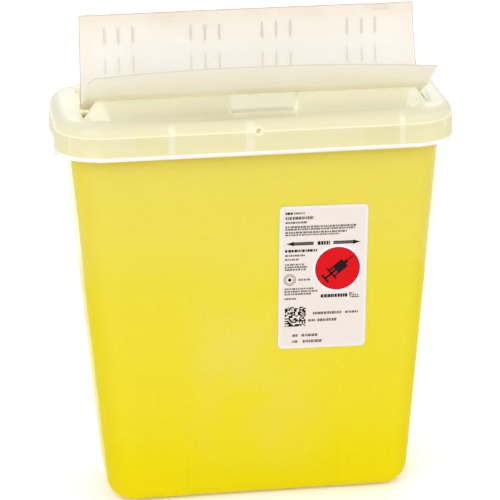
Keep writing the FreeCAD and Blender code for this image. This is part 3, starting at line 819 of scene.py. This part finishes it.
def word_line(chance, left, right, height, tall):
    """One line of unreadable words: short bars with gaps."""
    bars = []
    x = left
    while x < right - 0.8:
        width = min(chance.uniform(0.7, 2.6), right - x)
        bars.append(bar(x, x + width, height - tall / 2, height + tall / 2))
        x += width + chance.uniform(0.25, 0.75)
    return bars


def add_label_piece(name, bm, *materials, replaced=()):
    add_piece(name, mesh_from_bmesh(name, bm), HOUSING, "label_film", materials=materials,
              replaced=replaced)


def make_label():
    place = label_frame()
    width, height, radius = LABEL_SIZE
    bm = bmesh.new()
    add_flat(bm, place, outline(width, height, radius, 8, 1), FILM_TOP)
    add_label_piece("label_base", bm, replaced=("front_label",))

    inner = (width - 2 * LABEL_BORDER, height - 2 * LABEL_BORDER, 2.0)
    for name, points, top, material in (
            ("label_field", outline(*inner, 6, 1), FIELD_TOP, LABEL_FIELD),
            ("label_disc_rim", disc(*DISC_CENTRE, DISC_RADIUS + DISC_RIM), INK_TOP, LABEL_WHITE),
            ("label_disc", disc(*DISC_CENTRE, DISC_RADIUS), DISC_TOP, LABEL_RED)):
        bm = bmesh.new()
        add_flat(bm, place, points, top)
        add_label_piece(name, bm, material)
    make_pictogram(place @ Matrix.Translation((DISC_CENTRE[0], 0, DISC_CENTRE[1])))
    make_print(place)


def make_pictogram(place):
    """A generic syringe seen from the side, drawn slanting across the disc."""
    bm = bmesh.new()
    turn = place @ Matrix.Rotation(math.radians(-40), 4, "Y")
    for points in (
            bar(-7.0, 7.6, 2.9, 4.3), bar(-7.0, 7.6, -4.3, -2.9), bar(6.4, 8.0, -4.3, 4.3),
            bar(-7.6, -6.0, -6.2, 6.2), bar(-2.0, 6.6, -3.1, 3.1), bar(7.8, 11.0, -1.5, 1.5),
            bar(10.8, 17.6, -0.5, 0.5), bar(-13.2, -2.0, -1.0, 1.0),
            bar(-14.8, -13.0, -4.6, 4.6)):
        add_flat(bm, turn, points, PICTOGRAM_TOP)
    for x in (-4.8, -3.3):
        add_flat(bm, turn, bar(x, x + 0.6, 1.2, 3.0), PICTOGRAM_TOP)
    add_label_piece("label_pictogram", bm, INK_BLACK)


def make_print(place):
    """Unreadable rows of print, arrows, a small round icon and a random dot pattern."""
    chance = random.Random(7)
    grey, black = bmesh.new(), bmesh.new()

    def draw(colour, points):
        add_flat(colour, place, points, INK_TOP)

    def write(colour, left, right, height, tall):
        for points in word_line(chance, left, right, height, tall):
            draw(colour, points)

    for left, right, height, tall in ((-26, -16, 58.5, 1.6), (-33, -8, 54.2, 2.6),
                                      (-33, -14, 50.2, 1.8), (-33, 28, 46.2, 1.8),
                                      (-33, 27, 44.0, 1.6), (-33, 21, 41.2, 1.7),
                                      (-33, 14, 39.0, 1.4)):
        write(grey, left, right, height, tall)
    write(black, -33, -27, 58.5, 2.2)

    arrow = 31.0
    for side in (-1, 1):
        tip, neck, tail = side * 32.0, side * 25.5, side * 8.5
        low, high = sorted((neck, tail))
        draw(grey, bar(low, high, arrow - 0.7, arrow + 0.7))
        for shift in (1.0, -1.0):
            draw(black, bar(low, high, arrow + shift - 0.4, arrow + shift + 0.4))
        draw(black, [(tip, arrow), (neck, arrow - side * 2.0), (neck, arrow + side * 2.0)])
    write(black, -5.0, 5.5, arrow, 3.4)

    write(black, -33, -5.5, 24.6, 2.3)
    for right, height in ((-15, 20.4), (-21, 16.8), (-16, 12.2), (-14, 9.9), (-14, 7.6)):
        write(grey, -33, right, height, 1.6)

    icon = (-28.6, -1.6)
    ring_bars(black, place, *icon, 5.2, 4.7, INK_TOP)
    ring_bars(grey, place, *icon, 3.9, 3.3, INK_TOP)
    draw(black, disc(*icon, 1.5, 20))
    write(grey, -21, -11, -1.8, 1.8)

    for right, height in ((-8, -10.0), (-3, -12.4), (-10, -14.8), (-22, -19.0)):
        write(grey, -33, right, height, 1.6)
    write(black, -1.5, 21.5, -17.4, 3.0)
    for left, right, height in ((23, 28, -15.6), (23, 31, -17.4), (24, 32, -19.2)):
        write(grey, left, right, height, 1.3)

    cells, cell = 16, 1.13
    for row in range(cells):
        for column in range(cells):
            if chance.random() < 0.52:
                left, low = -32.4 + column * cell, -44.6 + row * cell
                draw(black, bar(left, left + cell, low, low + cell))

    for left, right, height, tall in ((-8.0, 18, -33.0, 2.4), (20, 31, -33.0, 2.0),
                                      (-12, -6, -39.4, 2.1), (-4, 12.5, -39.4, 2.5),
                                      (-25.5, -20.5, -53.0, 2.2), (-17.5, -3, -53.0, 2.3),
                                      (-25.5, -20.5, -58.6, 2.2), (-16.5, 0, -58.6, 2.5)):
        write(grey, left, right, height, tall)

    add_label_piece("label_print_grey", grey, INK_GREY)
    add_label_piece("label_print_black", black, INK_BLACK)


make_tub()
make_lid()
make_gate()
make_door()
make_panel()
make_label()


# ---------------------------------------------------------------- stage, light and camera

def make_floor():
    bpy.ops.mesh.primitive_plane_add(size=12)
    floor = bpy.context.object
    floor.name = "floor"
    material, _, shader = new_material("floor")
    shader.inputs["Base Color"].default_value = (1.0, 1.0, 1.0, 1)
    shader.inputs["Roughness"].default_value = 0.9
    shader.inputs["Emission Color"].default_value = (0.6, 0.65, 1.0, 1)
    shader.inputs["Emission Strength"].default_value = 0.20
    floor.data.materials.append(material)


def make_area_light(name, place, target, size, power):
    light = bpy.data.lights.new(name, "AREA")
    light.shape = "RECTANGLE"
    light.size, light.size_y = size
    light.energy = power
    holder = bpy.data.objects.new(name, light)
    bpy.context.collection.objects.link(holder)
    holder.location = place
    holder.rotation_euler = (Vector(target) - Vector(place)).to_track_quat("-Z", "Y").to_euler()
    holder.visible_camera = False


def make_camera():
    """The view: a long lens, a little left of the front and raised, with a slight roll."""
    elevation = math.radians(18.95)
    yaw = math.radians(7.854)
    roll = math.radians(-0.577)
    distance = 2.3193
    back = Vector((-math.sin(yaw) * math.cos(elevation), -math.cos(yaw) * math.cos(elevation),
                   math.sin(elevation)))
    side = Vector((math.cos(yaw), -math.sin(yaw), 0))
    target = Vector((0, 0, 0.21199)) - side * 0.00057
    camera = bpy.data.cameras.new("camera")
    camera.sensor_width = 36
    camera.lens = 191.73
    holder = bpy.data.objects.new("camera", camera)
    bpy.context.collection.objects.link(holder)
    facing = (-back).to_track_quat("-Z", "Y").to_matrix().to_4x4()
    holder.matrix_world = (Matrix.Translation(target + back * distance) @ facing
                           @ Matrix.Rotation(roll, 4, "Z"))
    bpy.context.scene.camera = holder


make_floor()
make_area_light("key", (-1.1, -1.6, 1.5), (0, 0, 0.2), (1.2, 1.2), 13)
make_area_light("fill", (1.6, -1.2, 1.2), (0, 0, 0.2), (1.4, 1.4), 6)
make_area_light("back", (0.3, 1.6, 1.4), (0, 0, 0.3), (1.6, 1.0), 9)
make_area_light("edge_card", (-0.28, 0.40, 0.116), (-0.16, 0.0, 0.116), (0.03, 0.12), 0.10)
world = bpy.data.worlds.new("studio")
bpy.context.scene.world = world
world.use_nodes = True
sky = world.node_tree.nodes["Background"]
sky.inputs["Color"].default_value = (1, 1, 1, 1)
sky.inputs["Strength"].default_value = 0.76
bpy.context.scene.view_settings.view_transform = "Standard"
make_camera()
